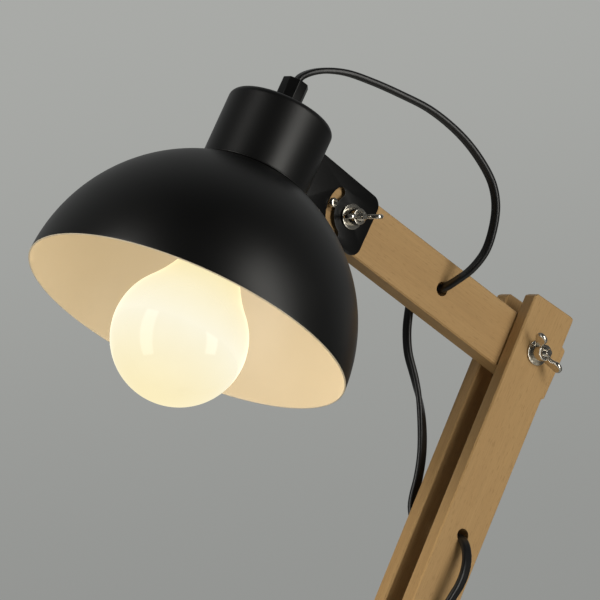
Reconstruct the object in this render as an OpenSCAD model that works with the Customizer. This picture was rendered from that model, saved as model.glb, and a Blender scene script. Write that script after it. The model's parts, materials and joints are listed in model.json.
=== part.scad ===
// Adjustable arm floor lamp: a weighted round base and a wooden post carry a pair of planks,
// the planks carry a single wooden arm, and the arm carries a domed metal shade.
// The arms swing in the XZ plane. Z = 0 is the floor and the post stands on the Z axis.

/* [Pose] */
// Height of the shoulder pivot above the floor
shoulder_h = 860; // [700:10:1000]
// Lean of the plank pair from the vertical, degrees
lean = 28; // [20:1:32]
// Slope of the upper arm from the horizontal, degrees
slope = 30.5; // [24:0.5:34]

/* [Wood] */
// Distance between the shoulder and elbow pivots
middle_len = 400; // [380:10:460]
// Distance between the elbow and head pivots
upper_len = 185; // [175:1:200]
// Width of the single arm and of the post
arm_w = 42; // [38:1:46]
// Thickness of the single arm and of the post
arm_t = 16; // [14:1:18]
// Width of each plank of the pair
plank_w = 39; // [36:1:44]
// Thickness of each plank of the pair
plank_t = 12; // [10:1:14]
// Length of wood past each pivot
end_len = 37; // [32:1:42]
// Chamfer along the edges of the wood
edge = 1; // [0.5:0.25:1.5]
// Diameter of the holes that the cord is threaded through
cord_hole_d = 10; // [9:0.5:12]

/* [Shade] */
// Outer radius of the dome at its rim
dome_r = 117.7; // [115:0.1:119]
// Sheet thickness of the dome and the neck
sheet = 1.2; // [0.8:0.1:2]
// Radius of the arc that the dome's side follows
dome_bow = 126.5; // [124:0.5:129]
// Outer radius of the neck
neck_r = 38.3; // [37:0.1:39]
// Height of the neck's top above the rim
neck_top = 167; // [162:1:170]
// Diameter of the globe bulb
bulb_d = 95; // [80:5:100]
// Distance of the globe's centre below the rim
bulb_drop = 12.5; // [8:0.5:16]

/* [Head bracket] */
// Distance from the shade's axis to the head pivot
reach = 88; // [87:0.5:96]
// Height of the head pivot above the rim
pivot_h = 135.7; // [133:0.1:138]
// Width of the bracket plate
plate_w = 46.5; // [44:0.5:47]
// Thickness of the bracket plate
plate_t = 2.5; // [2:0.5:3]
// Radius of the slot that limits the tilt
slot_r = 19; // [18:0.5:19.5]
// Tilt from rest that turns the opening upwards, degrees
tilt_up = 72; // [60:1:74]
// Tilt from rest that turns the opening inwards, degrees
tilt_in = 36; // [20:1:38]

/* [Base] */
// Radius of the base
base_r = 140; // [120:5:150]
// Thickness of the steel disc
base_t = 10; // [8:1:14]
// Height of the socket that holds the post
socket_h = 70; // [50:5:80]

/* [Hidden] */
$fn = 64;

// fits
washer_t = 0.7;       // fibre friction washer
fit_gap = 0.1;        // running clearance between two pieces that turn on each other
bolt_r = 3;           // M6
pivot_bore = 3.08;    // bore of a piece that turns on a bolt
bolt_bore = 3.15;     // bore of a piece that is clamped to a bolt
steel_washer_r = 9;
steel_washer_t = 1.6;
nut_h = 16;           // wing nut, boss to wing tip
nut_boss_h = 8;
limit_r = 2;          // shank of the screw that limits the tilt
coach_head_r = 8.2;
coach_head_h = 3.4;

// layers across the lamp, measured along Y from its middle plane
arm_y = arm_t / 2;
inner_y = arm_y + washer_t + fit_gap;
plank_y = inner_y + plank_t;
plate_y = inner_y + plate_t;
shade_y = -(inner_y + plate_t / 2);

elbow = [middle_len * sin(lean), 0, shoulder_h + middle_len * cos(lean)];

// cord
cord_d = 6;
arm_hole_x = -87;     // hole in the upper arm, from the elbow
plank_hole_z = -143;  // hole in the planks, from the elbow
post_hole_z = shoulder_h - 120;
grip_h = 23.5;
cord_seat = 10;       // depth of the cord inside the grip
coil_at = [140, 300];
coil_r = 40;          // middle of the turns
coil_w = 14.8;        // three turns side by side, and two layers
switch_at = [118, 218, 0];
plug_at = [56, 343, 7];
clip_z = [520, 230];
plank_clip_z = -270;

base_top = 2 + base_t;

// the dome's arc is centred below the rim and past the axis, and its top is flat
dome_drop = 4;
dome_x = dome_r - sqrt(dome_bow * dome_bow - dome_drop * dome_drop);
dome_flat = 115;

wood = "#b08c5c";
black = "#1d1c1c";
zinc = "#b9b9b4";

// ---- frames ----
module in_planks() translate([0, 0, shoulder_h]) rotate([0, lean, 0]) children();
module in_planks_top() in_planks() translate([0, 0, middle_len]) children();
module in_arm() translate(elbow) rotate([0, slope, 0]) children();
module in_head() in_arm() translate([-upper_len, 0, 0]) children();
module in_shade() in_head() translate([-reach, shade_y, -pivot_h]) children();
// lays a shape drawn in XY with its thickness along Z onto the XZ plane, from y0 to y0 + t
module across(y0, t) translate([0, y0 + t, 0]) rotate([90, 0, 0])
    linear_extrude(t) children();
module y_cyl(r, y0, y1) translate([0, y1, 0]) rotate([90, 0, 0]) cylinder(r = r, h = y1 - y0);

// ---- wood ----
// bar along Z from z0 to z1, w wide along X, from y0 to y0 + t, with all its edges chamfered
// and its corners cut back by corner
module bar(w, y0, t, z0, z1, corner = 3) {
    mid = y0 + t / 2;
    intersection() {
        translate([0, 0, z0]) linear_extrude(z1 - z0) translate([0, mid]) cut_box(w, t, edge);
        across(y0, t) translate([0, (z0 + z1) / 2]) cut_box(w, z1 - z0, corner);
        translate([-w, mid, (z0 + z1) / 2]) rotate([90, 0, 90]) linear_extrude(2 * w)
            cut_box(t, z1 - z0, edge);
    }
}
// rectangle with its corners cut off
module cut_box(w, h, c) polygon([[-w / 2 + c, -h / 2], [w / 2 - c, -h / 2], [w / 2, -h / 2 + c],
    [w / 2, h / 2 - c], [w / 2 - c, h / 2], [-w / 2 + c, h / 2], [-w / 2, h / 2 - c],
    [-w / 2, -h / 2 + c]]);

module plank(y0) difference() {
    bar(plank_w, y0, plank_t, -end_len, middle_len + end_len, 2.5);
    for (z = [0, middle_len]) translate([0, 0, z]) y_cyl(bolt_bore, y0 - 1, y0 + plank_t + 1);
    translate([0, 0, middle_len + plank_hole_z])
        y_cyl(cord_hole_d / 2, y0 - 1, y0 + plank_t + 1);
    for (x = spacer_x) translate([x, 0, spacer_z]) y_cyl(2.05, y0 - 1, y0 + plank_t + 1);
}
spacer_x = [-10, 10];
spacer_z = middle_len + plank_clip_z + 22;

module front_plank() color(wood) in_planks() plank(-plank_y);
module back_plank() color(wood) in_planks() difference() {
    plank(inner_y);
    for (z = [0, middle_len]) translate([-3.1, plank_y - 4, z - 3.1]) cube([6.2, 5, 6.2]);
}
module plank_spacer() color(wood) in_planks() difference() {
    bar(plank_w - 6, -inner_y, 2 * inner_y, spacer_z - 25, spacer_z + 25);
    for (x = spacer_x) translate([x, 0, spacer_z]) y_cyl(2.05, -inner_y - 1, inner_y + 1);
}
module spacer_screws() color(zinc) in_planks() for (x = spacer_x) translate([x, 0, spacer_z]) {
    y_cyl(2, -plank_y, plank_y);
    difference() {
        y_cyl(4.2, plank_y, plank_y + 2.4);
        translate([-0.6, plank_y + 1.4, -5]) cube([1.2, 2, 10]);
    }
    difference() {
        y_cyl(4.2, -plank_y - 2.4, -plank_y);
        translate([-0.6, -plank_y - 3.4, -5]) cube([1.2, 2, 10]);
    }
}
module upper_arm() color(wood) in_arm() difference() {
    translate([-upper_len / 2, 0, 0]) rotate([0, 90, 0])
        bar(arm_w, -arm_y, arm_t, -upper_len / 2 - 27, upper_len / 2 + 32);
    y_cyl(pivot_bore, -arm_y - 1, arm_y + 1);
    translate([-upper_len, 0, 0]) {
        y_cyl(bolt_bore, -arm_y - 1, arm_y + 1);
        translate([-3.1, arm_y - 4, -3.1]) cube([6.2, 5, 6.2]);
        translate([-slot_r, 0, 0]) y_cyl(2.05, -arm_y - 1, 4);
    }
    translate([arm_hole_x, 0, 0]) y_cyl(cord_hole_d / 2, -arm_y - 1, arm_y + 1);
}
module post() color(wood) difference() {
    bar(arm_w - 2, -arm_y, arm_t, base_top + 0.5, shoulder_h + 30);
    translate([0, 0, shoulder_h]) y_cyl(pivot_bore, -arm_y - 1, arm_y + 1);
    translate([0, 0, post_hole_z]) y_cyl(cord_hole_d / 2, -arm_y - 1, arm_y + 1);
    for (x = [-11, 11]) translate([x, 0, base_top + socket_h - 22]) y_cyl(2.05, -arm_y - 1, 6);
}

// ---- fasteners ----
// coach bolt through a pivot: domed head behind y1, square neck, shank forward to y0
module coach_bolt(y0, y1) {
    y_cyl(bolt_r, y0, y1);
    translate([-3, y1 - 3.8, -3]) cube([6, 3.8, 6]);
    translate([0, y1, 0]) rotate([-90, 0, 0]) intersection() {
        cylinder(r = coach_head_r, h = coach_head_h);
        translate([0, 0, coach_head_h - 12]) sphere(12);
    }
}
// front washer whose back face is at y
module steel_washer(y) difference() {
    y_cyl(steel_washer_r, y - steel_washer_t, y);
    y_cyl(3.2, y - steel_washer_t - 1, y + 1);
}
module friction_washer(y0) difference() {
    y_cyl(11, y0, y0 + washer_t);
    y_cyl(3.2, y0 - 1, y0 + washer_t + 1);
}
// outline of one wing, from the boss outwards: x away from the bolt, y away from the washer
wing = concat([[2.8, 1.5], [8.5, 3]],
    [for (a = [-60:15:150]) [12 + 4.6 * cos(a), nut_h - 4.6 + 4.6 * sin(a)]],
    [[6.4, 10], [2.8, 7.8]]);
// wing nut whose seat is at y, wings turned by spin about the bolt
module wing_nut(y, spin) color(zinc) translate([0, y, 0]) rotate([90, 0, 0]) rotate(spin)
    difference() {
        union() {
            cylinder(r1 = 6.6, r2 = 5.6, h = nut_boss_h);
            for (s = [0, 180]) rotate([90, 0, s]) translate([0, 0, -1.6])
                linear_extrude(3.2) polygon(wing);
        }
        translate([0, 0, -1]) cylinder(r = bolt_r + 0.06, h = nut_h + 3);
    }

module shoulder_bolt() color(zinc) in_planks() coach_bolt(-plank_y - 14, plank_y);
module shoulder_washer() color(zinc) in_planks() steel_washer(-plank_y);
module shoulder_wing_nut() in_planks()
    wing_nut(-plank_y - steel_washer_t - fit_gap, 20);
module shoulder_friction_washers() color("#3a2a1e") translate([0, 0, shoulder_h]) {
    friction_washer(-arm_y - washer_t);
    friction_washer(arm_y);
}
module elbow_bolt() color(zinc) in_planks_top() coach_bolt(-plank_y - 14, plank_y);
module elbow_washer() color(zinc) in_planks_top() steel_washer(-plank_y);
module elbow_wing_nut() in_planks_top()
    wing_nut(-plank_y - steel_washer_t - fit_gap, -56 + lean);
module elbow_friction_washers() color("#3a2a1e") in_arm() {
    friction_washer(-arm_y - washer_t);
    friction_washer(arm_y);
}
module head_bolt() color(zinc) in_head() coach_bolt(-plate_y - 15, arm_y);
module head_washer() color(zinc) in_head() steel_washer(-plate_y - fit_gap);
module head_wing_nut() in_head()
    wing_nut(-plate_y - steel_washer_t - 2 * fit_gap, slope);
module head_friction_washer() color("#3a2a1e") in_head() friction_washer(-arm_y - washer_t);
module tilt_limit_screw() color(zinc) in_head() translate([-slot_r, 0, 0]) {
    y_cyl(limit_r, -plate_y - 0.4, 3.5);
    translate([0, -plate_y - 0.4, 0]) rotate([90, 0, 0]) difference() {
        intersection() {
            cylinder(r = 3.5, h = 2.4);
            translate([0, 0, -2.2]) sphere(5);
        }
        for (a = [0, 90]) rotate(a) translate([-2, -0.4, 1.4]) cube([4, 0.8, 2]);
    }
}

// ---- head ----
// flat outline of the bracket in the plane of the arm: x along the arm, y across it
module plate_outline() difference() {
    union() {
        polygon([[10.5, -plate_w / 2], [10.5, plate_w / 2], [-reach + neck_r - 4, plate_w / 2 + 2.4],
            [-reach + neck_r - 4, -plate_w / 2]]);
        for (s = [-1, 1]) translate([10.5, s * (plate_w / 2 - 8)]) circle(8);
        translate([0, -plate_w / 2 + 8]) square([18.5, plate_w - 16]);
    }
    circle(pivot_bore);
    tilt_slot();
    translate([-reach, -pivot_h]) dome_arc(0.4);
}
// the slot is an arc about the pivot; its round ends stop just short of the limit screw
module tilt_slot() {
    half = 3.6;
    play = asin((half - limit_r - 0.3) / slot_r);
    lo = 180 - tilt_in + play;
    hi = 180 + tilt_up - play;
    polygon(concat([for (a = [lo:5:hi]) (slot_r + half) * [cos(a), sin(a)]],
        [for (a = [hi:-5:lo]) (slot_r - half) * [cos(a), sin(a)]]));
    for (a = [lo, hi]) rotate(a) translate([slot_r, 0]) circle(half, $fn = 32);
}
tab_r = neck_r - sheet;
module bracket_plate() color(black) in_head() {
    across(-plate_y, plate_t) plate_outline();
    // curved foot that follows the inside of the neck
    translate([-reach, shade_y, -pivot_h]) intersection() {
        difference() {
            translate([0, 0, pivot_h - 15]) cylinder(r = tab_r, h = 30);
            translate([0, 0, pivot_h - 16]) cylinder(r = tab_r - 2, h = 32);
        }
        difference() {
            translate([0, -13, 0]) cube([40, 26, 200]);
            rivet_holes();
        }
    }
}
module rivet_holes() for (p = rivet_spots) translate([0, 0, pivot_h + p[1]])
    rotate([0, 90, asin(p[0] / neck_r)]) cylinder(r = 1.5, h = 60);
rivet_spots = [for (y = [-8.5, 8.5], z = [-9, 9]) [y, z]];
module bracket_rivets() color(black) in_shade() for (p = rivet_spots)
    translate([0, 0, pivot_h + p[1]]) rotate([0, 90, asin(p[0] / neck_r)]) {
        translate([0, 0, tab_r - 3.2]) cylinder(r = 1.5, h = 4.4);
        translate([0, 0, neck_r]) cylinder(r1 = 2.8, r2 = 1.6, h = 1.2);
    }
module neck_cup() color(black) in_shade() difference() {
    rotate_extrude() difference() {
        cup_outline(neck_r, neck_top, 5);
        cup_outline(neck_r - sheet, neck_top - sheet, 4);
        square([5.1, 300]);
        dome_arc(0.02);
    }
    // slit for the bracket
    translate([neck_r - 6, -plate_t / 2, pivot_h - plate_w / 2 - 1])
        cube([8, plate_t, plate_w + 3.9]);
    rivet_holes();
}
// half section of a closed cup with a rounded top edge
module cup_outline(r, h, round_r) {
    square([r - round_r, h]);
    square([r, h - round_r]);
    translate([r - round_r, h - round_r]) circle(round_r);
}
// half section under the dome's arc, grown by extra
module dome_arc(extra) translate([dome_x, -dome_drop]) circle(dome_bow + extra, $fn = 128);
module shade_dome() color(black) in_shade() rotate_extrude($fn = 128) difference() {
    intersection() {
        dome_arc(0);
        square([dome_r + 5, dome_flat]);
    }
    intersection() {
        dome_arc(-sheet);
        translate([-5, -5]) square([dome_r + 5, dome_flat - sheet + 5]);
    }
    square([5.1, 300]);
}
tube_lo = 100;
module threaded_tube() color("#c8a850") in_shade() difference() {
    translate([0, 0, tube_lo]) cylinder(r = 5, h = neck_top + 8 - tube_lo);
    translate([0, 0, tube_lo - 1]) cylinder(r = 3.7, h = 100);
}
module tube_nuts() color(zinc) in_shade() for (z = [dome_flat - sheet - 3.1, dome_flat + 0.1])
    difference() {
        translate([0, 0, z]) cylinder(r = 8, h = 3, $fn = 6);
        translate([0, 0, z - 1]) cylinder(r = 5.02, h = 5);
    }
module cord_grip() color(black) in_shade() translate([0, 0, neck_top]) difference() {
    intersection() {
        rotate(22.5) cylinder(r = 9.7, h = grip_h, $fn = 8);
        translate([0, 0, -1]) cylinder(r1 = 30, r2 = 8.9, h = grip_h + 1);
    }
    translate([0, 0, -1]) cylinder(r = 5.02, h = 9.2);
    translate([0, 0, grip_h - cord_seat]) cylinder(r = cord_d / 2 + 0.05, h = 20);
    translate([0, 0, grip_h - 7]) rotate([-90, 0, 45]) cylinder(r = 1.6, h = 20);
}
module grip_screw() color(zinc) in_shade() translate([0, 0, neck_top + grip_h - 7])
    rotate([-90, 0, 45]) translate([0, 0, cord_d / 2 + 0.2]) difference() {
        cylinder(r = 1.55, h = 4.4);
        translate([-2, -0.3, 3.8]) cube([4, 0.6, 2]);
    }

// ---- lampholder and bulb ----
holder_top = 108;
mouth = 50;
module lampholder_cap() color(black) in_shade() difference() {
    rotate_extrude() difference() {
        union() {
            translate([0, 84]) square([19, 16]);
            translate([0, 84]) square([14, 21]);
            translate([14, 100]) circle(5);
        }
        translate([0, 83]) square([17, 14]);
        square([5.02, 200]);
    }
    translate([0, 0, holder_top]) cylinder(r = 30, h = 10);
}
module lampholder_skirt() color(black) in_shade() rotate_extrude() difference() {
    union() {
        translate([0, mouth]) square([19, 34]);
        translate([0, 66]) square([21, 6]);
    }
    translate([0, mouth - 1]) square([16.4, 36]);
}
module lampholder_shell() color("#c8a850") in_shade() rotate_extrude() difference() {
    translate([0, mouth + 3]) square([14.6, 31]);
    translate([0, mouth + 2]) square([13.7, 29]);
    square([3, 200]);
}
module lampholder_contact() color("#c8a850") in_shade() translate([0, 0, 78.8])
    cylinder(r = 2.4, h = 3.4);
globe_r = bulb_d / 2;
// the globe's outline runs round the sphere and on into a tapering stem
function globe_outline(r, neck, inset) = concat(
    [for (a = [-90:6:48]) [r * cos(a), -bulb_drop + r * sin(a)]],
    [[24 - inset, 33], [18.5 - inset, 42], [14.2 - inset, 50], [neck, 55]]);
module bulb_globe() color("#fff6dd") in_shade() rotate_extrude($fn = 96) difference() {
    polygon(concat(globe_outline(globe_r, 12.6, 0), [[0, 55]]));
    polygon(concat(globe_outline(globe_r - 1.2, 11.4, 1.2), [[0, 56]]));
}
module bulb_cap() color(zinc) in_shade() {
    rotate_extrude() difference() {
        union() {
            translate([0, 55]) square([13, 20]);
            polygon([[0, 75], [13, 75], [7, 78], [0, 78]]);
        }
        translate([0, 54]) square([12.2, 20]);
    }
}
module bulb_contact() color("#c8a850") in_shade() translate([0, 0, 78])
    cylinder(r = 4.5, h = 0.7);

// ---- base ----
module base_pad() color("#2a2a2a") cylinder(r = base_r - 4, h = 2, $fn = 128);
module base_disc() color(black) translate([0, 0, 2]) difference() {
    rotate_extrude($fn = 128) {
        square([base_r, base_t - 3]);
        square([base_r - 3, base_t]);
        translate([base_r - 3, base_t - 3]) circle(3, $fn = 32);
    }
    for (p = foot_holes) translate([p[0], p[1], base_t - 8]) cylinder(r = 2.5, h = 9);
}
socket_w = arm_w - 2 + 0.5 + 5;
socket_d = arm_t + 0.5 + 5;
foot_holes = [for (x = [-32, 32], y = [-20, 20]) [x, y]];
module post_socket() color(black) translate([0, 0, base_top]) difference() {
    union() {
        translate([-42, -29, 0]) cube([84, 58, 3]);
        translate([-socket_w / 2, -socket_d / 2, 0]) cube([socket_w, socket_d, socket_h]);
    }
    translate([-socket_w / 2 + 2.5, -socket_d / 2 + 2.5, -1])
        cube([socket_w - 5, socket_d - 5, socket_h + 2]);
    for (p = foot_holes) translate([p[0], p[1], -1]) cylinder(r = 2.6, h = 5);
    for (x = [-11, 11]) translate([x, 0, socket_h - 22]) y_cyl(2.2, -socket_d, 0);
}
module base_screws() color(zinc) for (p = foot_holes) translate([p[0], p[1], base_top]) {
    translate([0, 0, -7]) cylinder(r = 2.45, h = 10);
    translate([0, 0, 3]) pan_head(4.6, 2.8);
}
module socket_screws() color(zinc) for (x = [-11, 11])
    translate([x, -socket_d / 2, base_top + socket_h - 22]) rotate([90, 0, 0]) {
        translate([0, 0, -14]) cylinder(r = 2, h = 14);
        pan_head(4.2, 2.6);
    }
// round screw head with a cross recess
module pan_head(r, h) difference() {
    intersection() {
        cylinder(r = r, h = h);
        translate([0, 0, h - 1.6 * r]) sphere(1.6 * r);
    }
    for (a = [0, 90]) rotate(a) translate([-r * 0.55, -0.5, h - 1]) cube([r * 1.1, 1, 2]);
}

// ---- cord clips ----
// saddle over the cord, which runs along Z at y = 0, standing on a face at y = -d
module saddle(d) difference() {
    union() {
        translate([0, 0, -5]) cylinder(r = cord_d / 2 + 2, h = 10);
        translate([-10, -d, -5]) cube([20, 2.2, 10]);
        translate([-cord_d / 2 - 2, -d, -5]) cube([cord_d + 4, d, 10]);
    }
    translate([0, 0, -6]) cylinder(r = cord_d / 2 + 0.1, h = 12);
    translate([-20, -d - 10, -6]) cube([40, 10, 12]);
}
module post_cord_clips() color(black) for (z = clip_z)
    translate([0, arm_y + 4, z]) saddle(4);
module plank_cord_clip() color(black) in_planks_top() translate([0, -plank_y - 4.2, plank_clip_z])
    rotate(180) saddle(4.2);

// ---- cord ----
function unit(v) = v / norm(v);
// tangent of a route at point i
function heading(p, i) = unit(p[min(i + 1, len(p) - 1)] - p[max(i - 1, 0)]);
// side vectors carried along the route without twisting
function carried(p, i) = i == 0
    ? unit(cross(heading(p, 0), [0.31, 0.83, 0.46]))
    : let (t = heading(p, i), s = carried(p, i - 1)) unit(s - (s * t) * t);
module swept_cord(p) {
    n = 8;
    last = len(p) - 1;
    rings = [for (i = [0:last]) let (t = heading(p, i), s = carried(p, i), u = cross(t, s))
        for (k = [0:n - 1]) p[i] + cord_d / 2 * (cos(k * 360 / n) * s + sin(k * 360 / n) * u)];
    sides = [for (i = [0:last - 1], k = [0:n - 1]) let (a = i * n + k, b = i * n + (k + 1) % n)
        each [[a, a + n, b], [b, a + n, b + n]]];
    ends = [[for (k = [0:n - 1]) k], [for (k = [n - 1:-1:0]) last * n + k]];
    color("#161616") polyhedron(rings, concat(sides, ends), convexity = 8);
}
grip_mouth = neck_top + grip_h - pivot_h;
// a point of the shade's axis, given by its height above the head pivot
function on_axis(h) = let (a = slope) [
    -upper_len * cos(a) - reach * cos(a) + h * sin(a), shade_y,
    upper_len * sin(a) + reach * sin(a) + h * cos(a)];
// from the grip, over in a loop and into the hole in the upper arm; measured from the elbow
head_route = concat([on_axis(grip_mouth - cord_seat), on_axis(grip_mouth)], [
    [-203.5, -10, 189.3], [-196, -10.6, 192.3], [-184, -12.5, 194], [-168, -16, 192.7],
    [-150, -21, 187], [-128, -27, 178], [-105, -32, 167.2], [-83, -37, 150.5],
    [-68.3, -40, 134], [-58, -41.5, 117], [-54.3, -41, 102], [-54.3, -38, 86],
    [-57.2, -33, 70], [-64, -26, 57.6], [-71, -18, 49.8], [-74.4, -10, 45.2],
    [-75, -6, 44.2], [-75, 0, 44.2]]);
// out of the back of the arm, down behind the planks and into their hole
elbow_route = [[-75, 0, 44.2], [-75, 9, 44.2], [-74.9, 19, 41.5], [-74.6, 26.3, 34.2],
    [-74.5, 29.3, 24], [-74.9, 30, 13], [-74.4, 29.2, 0], [-70.3, 27, -18],
    [-66.7, 25.6, -36], [-64.9, 25.5, -54], [-63.9, 27.3, -71], [-64.3, 30.6, -87],
    [-66, 33.2, -99], [-67, 33.6, -107], [-67.3, 31, -116.3], [-67.2, 26.7, -121.6],
    [-67.1, 20.9, -124.9], [-67.1, 14.4, -126.3], [-67.1, 0, -126.3]];
// out of the front plank, down along it and over to the hole in the post
shoulder_route = [[-67.1, 0, -126.3], [-67.1, -9, -126.3], [-67.6, -19.5, -128.1],
    [-69.5, -26.3, -133], [-72, -31, -140], [-75.5, -34.2, -147], [-79, -35.8, -153.5],
    [-83, -35.8, -160.5], [-88, -34, -168.5], [-94, -31, -180], [-101, -28, -192],
    [-112, -25.5, -212], [-126.8, -25, -238.4], [-134, -25, -252],
    [-141, -27, -267], [-148, -31, -286], [-153, -35, -306], [-156, -38, -328],
    [-158, -40, -352], [-160, -41, -376], [-163, -41, -400], [-168, -38.5, -424],
    [-174, -34.5, -441], [-179, -30.6, -453], [-183.2, -26, -463], [-186, -19, -470.3],
    [-187.8, -10, -473.2], [-187.8, 0, -473.2]];
// down the back of the post, over the base and along the floor to the foot switch
post_route = [[0, 0, 740], [0, 8, 740], [0, 18, 737.3], [0, 25.3, 730], [0, 28, 719],
    [0, 26, 703], [0, 20.5, 682], [0, 15.5, 658], [0, 12.4, 628], [0, 12, 520], [0, 12, 380],
    [0, 12, 230], [0, 13, 130], [0, 15.5, 100], [0, 17, 75], [0, 19, 54], [0, 25, 34],
    [0, 35, 21], [0, 50, 16], [0, 75, 15.3], [0, 105, 15.3], [0, 134, 15.8], [2, 147, 14],
    [6, 160, 9], [12, 172, 4.6], [23, 186, 3.4], [36, 198, 3.4], [51, 208, 3.4],
    [64, 214.5, 4.6], [76, 218, 7.6], [86, 218, 8]];
// from the foot switch to the coil
lead_route = [[150, 218, 8], [160, 218, 7.6], [170, 221, 4.6], [179, 227, 3.4],
    [186, 236, 3.4], [190, 248, 3.4], [191, 262, 3.4], [191, 280, 3.4], [191, 296, 3.4]];
// from the coil to the plug
tail_route = [[117, 345.2, 9.4], [107, 344.4, 8], [97, 343.4, 7.1], [86, 343, 7]];

module cord_head() translate(elbow) swept_cord(head_route);
module cord_elbow() translate(elbow) swept_cord(elbow_route);
module cord_shoulder() translate(elbow) swept_cord(shoulder_route);
module cord_post() swept_cord(post_route);
module cord_lead() swept_cord(lead_route);
module cord_tail() swept_cord(tail_route);
module cord_coil() color("#161616") translate([coil_at[0], coil_at[1], 0.2])
    rotate_extrude() translate([coil_r, coil_w / 2]) cut_box(coil_w, coil_w, 3);

// ---- foot switch ----
// rounded box on the floor, l long and w wide
module pill(l, w, h) {
    translate([-l / 2 + w / 2, -w / 2, 0]) cube([l - w, w, h]);
    for (s = [-1, 1]) translate([s * (l - w) / 2, 0, 0]) cylinder(r = w / 2, h = h);
}
// straight-ended housing so that the cord meets a flat face
module switch_block(z0, h, inset) translate([0, 0, z0]) intersection() {
    pill(78, 30 - 2 * inset, h);
    translate([-32 + inset, -20, -1]) cube([64 - 2 * inset, 40, h + 2]);
}
module switch_base() color(black) translate(switch_at) difference() {
    switch_block(0.2, 10.8, 0);
    switch_block(2.2, 20, 2);
}
module switch_cover() color(black) translate(switch_at) difference() {
    union() {
        switch_block(11, 9, 0);
        switch_block(20, 1.5, 1.5);
    }
    switch_block(10, 9, 2);
    cylinder(r = 10.3, h = 40);
}
module switch_module() color("#d8d4c8") translate(switch_at) difference() {
    translate([-12, -8, 2.3]) cube([24, 16, 11]);
    translate([0, 0, 8]) cylinder(r = 3.3, h = 20);
}
module switch_button() color("#262626") translate(switch_at) {
    translate([0, 0, 11.5]) cylinder(r = 3, h = 5);
    translate([0, 0, 16.5]) cylinder(r = 10, h = 8);
    translate([0, 0, 24.5]) intersection() {
        cylinder(r = 10, h = 2);
        translate([0, 0, -28]) sphere(30);
    }
}

// ---- plug ----
module plug_boot() color(black) translate(plug_at) rotate([0, 90, 0]) {
    cylinder(r = 5, h = 3);
    for (i = [0:4]) translate([0, 0, 3 + i * 5.4]) {
        cylinder(r = 4.2 - i * 0.15, h = 5.4);
        translate([0, 0, 2.4]) cylinder(r = 5.4 - i * 0.3, h = 3);
    }
}
module plug_body() color(black) translate(plug_at) intersection() {
    translate([0, 0, -6.9]) linear_extrude(13.8)
        polygon([[0, -7], [0, 7], [-13, 17], [-34, 17], [-36, 15], [-36, -15], [-34, -17],
            [-13, -17]]);
    translate([-18, 30, 0]) rotate([90, 0, 0]) linear_extrude(60) cut_box(36, 13.8, 2);
}
module plug_pins() color(zinc) translate(plug_at) for (y = [-9.2, 9.2])
    translate([-36, y, 0]) rotate([0, -90, 0]) {
        cylinder(r = 1.9, h = 10);
        translate([0, 0, 10]) cylinder(r = 2, h = 8);
        translate([0, 0, 18]) cylinder(r1 = 2, r2 = 1.2, h = 1);
    }

base_pad();
base_disc();
post_socket();
base_screws();
socket_screws();
post();
shoulder_friction_washers();
shoulder_bolt();
shoulder_washer();
shoulder_wing_nut();
front_plank();
back_plank();
plank_spacer();
spacer_screws();
plank_cord_clip();
elbow_friction_washers();
elbow_bolt();
elbow_washer();
elbow_wing_nut();
upper_arm();
head_friction_washer();
head_bolt();
head_washer();
head_wing_nut();
tilt_limit_screw();
bracket_plate();
bracket_rivets();
neck_cup();
shade_dome();
threaded_tube();
tube_nuts();
cord_grip();
grip_screw();
lampholder_cap();
lampholder_skirt();
lampholder_shell();
lampholder_contact();
bulb_globe();
bulb_cap();
bulb_contact();
post_cord_clips();
cord_head();
cord_elbow();
cord_shoulder();
cord_post();
cord_lead();
cord_coil();
cord_tail();
switch_base();
switch_cover();
switch_button();
switch_module();
plug_boot();
plug_body();
plug_pins();
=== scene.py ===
"""Looks of the adjustable arm floor lamp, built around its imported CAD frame."""

import json
import math

import bmesh
import bpy
from mathutils import Matrix, Vector


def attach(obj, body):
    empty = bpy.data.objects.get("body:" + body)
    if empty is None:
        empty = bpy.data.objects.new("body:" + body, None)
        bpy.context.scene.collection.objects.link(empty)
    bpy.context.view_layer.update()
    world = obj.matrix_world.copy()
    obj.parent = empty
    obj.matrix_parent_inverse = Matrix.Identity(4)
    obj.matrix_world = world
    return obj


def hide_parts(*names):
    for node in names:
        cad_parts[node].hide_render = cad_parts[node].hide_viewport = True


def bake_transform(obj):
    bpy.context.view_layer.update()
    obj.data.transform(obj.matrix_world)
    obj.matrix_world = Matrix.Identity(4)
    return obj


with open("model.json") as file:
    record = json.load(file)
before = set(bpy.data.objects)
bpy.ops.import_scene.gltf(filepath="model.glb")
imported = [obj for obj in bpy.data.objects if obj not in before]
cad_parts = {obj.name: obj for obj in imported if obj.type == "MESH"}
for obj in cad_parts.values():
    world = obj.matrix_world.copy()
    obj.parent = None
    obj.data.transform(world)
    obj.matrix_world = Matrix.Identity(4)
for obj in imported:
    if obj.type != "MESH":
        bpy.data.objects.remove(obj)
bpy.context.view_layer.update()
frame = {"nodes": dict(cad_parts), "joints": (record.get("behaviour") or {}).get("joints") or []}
MM = 0.001


# ---------------------------------------------------------------- places on the lamp
def joint_point(name):
    return next(Vector(j["pos_m"]) for j in frame["joints"] if j["name"] == name)


def rot_y(angle):
    return Matrix.Rotation(angle, 4, "Y")


SHOULDER = joint_point("shoulder")
ELBOW = joint_point("elbow")
HEAD = joint_point("head_tilt")
LEAN = math.atan2(ELBOW.x - SHOULDER.x, ELBOW.z - SHOULDER.z)
SLOPE = math.atan2(HEAD.z - ELBOW.z, ELBOW.x - HEAD.x)

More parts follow.
